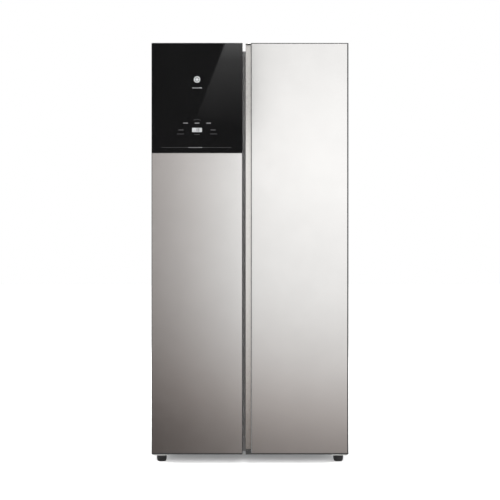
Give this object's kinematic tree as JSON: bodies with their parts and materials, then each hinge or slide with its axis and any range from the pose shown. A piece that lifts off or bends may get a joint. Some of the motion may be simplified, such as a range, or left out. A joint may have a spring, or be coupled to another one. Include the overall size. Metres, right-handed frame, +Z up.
{
  "type": "side by side refrigerator",
  "caption": "Tall fridge-freezer with a narrow freezer door beside a wider fridge door, a black glass panel and a recessed vertical grip.",
  "frame": {"origin": "middle of the footprint, on the floor, with both doors closed", "axes": "+Z up, the doors face -Y, the freezer door is on the -X side"},
  "size_m": [0.835, 0.645, 1.785],
  "materials": {
    "door_steel": "satin",
    "black_glass": "gloss",
    "grip_metal": "satin",
    "door_frame": "satin",
    "case_paint": "satin",
    "cover_plastic": "satin",
    "galvanised": "matte",
    "foam": "matte",
    "white_liner": "satin",
    "seal": "matte",
    "clear_plastic": "gloss",
    "shelf_glass": "gloss",
    "black_plastic": "matte",
    "compressor_paint": "gloss",
    "copper": "satin",
    "aluminium": "satin",
    "ice_plastic": "satin"
  },
  "bodies": {
    "cabinet": {"outer_case": "case_paint", "rear_panel": "galvanised", "insulation_foam": "foam", "freezer_liner": "white_liner", "fridge_liner": "white_liner", "mullion_strip": "galvanised", "base_frame": "galvanised", "top_hinge_left": "galvanised", "top_hinge_right": "galvanised", "bottom_hinge_left": "galvanised", "bottom_hinge_right": "galvanised", "hinge_cover_left": "cover_plastic", "hinge_cover_right": "cover_plastic", "machine_cover": "galvanised", "compressor": "compressor_paint", "drain_pan": "black_plastic", "condenser_coil": "copper", "fan_shroud": "black_plastic", "evaporator_cover": "white_liner", "evaporator": "aluminium", "air_duct": "white_liner", "fridge_shelf_1": "shelf_glass", "fridge_shelf_2": "shelf_glass", "fridge_shelf_3": "shelf_glass", "fridge_shelf_4": "shelf_glass", "freezer_shelf_1": "shelf_glass", "freezer_shelf_2": "shelf_glass", "freezer_shelf_3": "shelf_glass", "ice_maker_frame": "white_liner", "ice_bin": "clear_plastic"},
    "freezer_door": {"freezer_door_core": "door_frame", "freezer_door_panel": "door_steel", "freezer_door_glass": "black_glass", "freezer_door_gasket": "seal", "freezer_door_liner": "white_liner", "freezer_door_bin_1": "clear_plastic", "freezer_door_bin_2": "clear_plastic", "freezer_door_bin_3": "clear_plastic"},
    "fridge_door": {"fridge_door_core": "door_frame", "fridge_door_panel": "door_steel", "fridge_door_gasket": "seal", "fridge_door_liner": "white_liner", "grip_trim": "grip_metal", "fridge_door_bin_1": "clear_plastic", "fridge_door_bin_2": "clear_plastic", "fridge_door_bin_3": "clear_plastic"},
    "dairy_lid": {"dairy_lid": "clear_plastic"},
    "freezer_drawer_upper": {"freezer_drawer_upper": "clear_plastic"},
    "freezer_drawer_lower": {"freezer_drawer_lower": "clear_plastic"},
    "crisper_upper": {"crisper_upper": "clear_plastic"},
    "crisper_lower": {"crisper_lower": "clear_plastic"},
    "humidity_slider": {"humidity_slider": "white_liner"},
    "ice_tray": {"ice_tray": "ice_plastic"},
    "condenser_fan": {"condenser_fan": "black_plastic"},
    "evaporator_fan": {"evaporator_fan": "black_plastic"},
    "damper_flap": {"damper_flap": "white_liner"},
    "foot_left": {"foot_left": "black_plastic"},
    "foot_right": {"foot_right": "black_plastic"},
    "roller_left": {"roller_left": "black_plastic"},
    "roller_right": {"roller_right": "black_plastic"}
  },
  "joints": [
    {"name": "freezer_door_hinge", "type": "hinge", "parent": "cabinet", "child": "freezer_door", "pos_m": [-0.4035, -0.2925, 0.04], "axis": [0, 0, -1], "range_deg": [0, 125]},
    {"name": "fridge_door_hinge", "type": "hinge", "parent": "cabinet", "child": "fridge_door", "pos_m": [0.4035, -0.2925, 0.04], "axis": [0, 0, 1], "range_deg": [0, 125]},
    {"name": "dairy_lid_hinge", "type": "hinge", "parent": "fridge_door", "child": "dairy_lid", "pos_m": [0.0435, -0.2465, 1.59], "axis": [1, 0, 0], "range_deg": [0, 78]},
    {"name": "freezer_drawer_upper_slide", "type": "slide", "parent": "cabinet", "child": "freezer_drawer_upper", "axis": [0, -1, 0], "range_m": [0, 0.128]},
    {"name": "freezer_drawer_lower_slide", "type": "slide", "parent": "cabinet", "child": "freezer_drawer_lower", "axis": [0, -1, 0], "range_m": [0, 0.128]},
    {"name": "crisper_upper_slide", "type": "slide", "parent": "cabinet", "child": "crisper_upper", "axis": [0, -1, 0], "range_m": [0, 0.128]},
    {"name": "crisper_lower_slide", "type": "slide", "parent": "cabinet", "child": "crisper_lower", "axis": [0, -1, 0], "range_m": [0, 0.128]},
    {"name": "humidity_slide", "type": "slide", "parent": "crisper_upper", "child": "humidity_slider", "axis": [1, 0, 0], "range_m": [0, 0.04]},
    {"name": "ice_tray_twist", "type": "hinge", "parent": "cabinet", "child": "ice_tray", "pos_m": [-0.209, -0.11, 1.545], "axis": [0, 1, 0], "range_deg": [0, 150], "stiffness_Nm_per_rad": 0.05},
    {"name": "damper_hinge", "type": "hinge", "parent": "cabinet", "child": "damper_flap", "pos_m": [0.19, 0.257, 1.6], "axis": [1, 0, 0], "range_deg": [0, 90]},
    {"name": "condenser_fan_spin", "type": "hinge", "parent": "cabinet", "child": "condenser_fan", "pos_m": [0, 0.226, 0.145], "axis": [1, 0, 0], "continuous": true},
    {"name": "evaporator_fan_spin", "type": "hinge", "parent": "cabinet", "child": "evaporator_fan", "pos_m": [-0.20925, 0.233, 1.2], "axis": [0, 1, 0], "continuous": true},
    {"name": "foot_left_screw", "type": "hinge", "parent": "cabinet", "child": "foot_left", "pos_m": [-0.379, -0.235, 0], "axis": [0, 0, 1], "continuous": true},
    {"name": "foot_right_screw", "type": "hinge", "parent": "cabinet", "child": "foot_right", "pos_m": [0.379, -0.235, 0], "axis": [0, 0, 1], "continuous": true},
    {"name": "roller_left_spin", "type": "hinge", "parent": "cabinet", "child": "roller_left", "pos_m": [-0.36, 0.26, 0.02], "axis": [1, 0, 0], "continuous": true},
    {"name": "roller_right_spin", "type": "hinge", "parent": "cabinet", "child": "roller_right", "pos_m": [0.36, 0.26, 0.02], "axis": [1, 0, 0], "continuous": true}
  ]
}
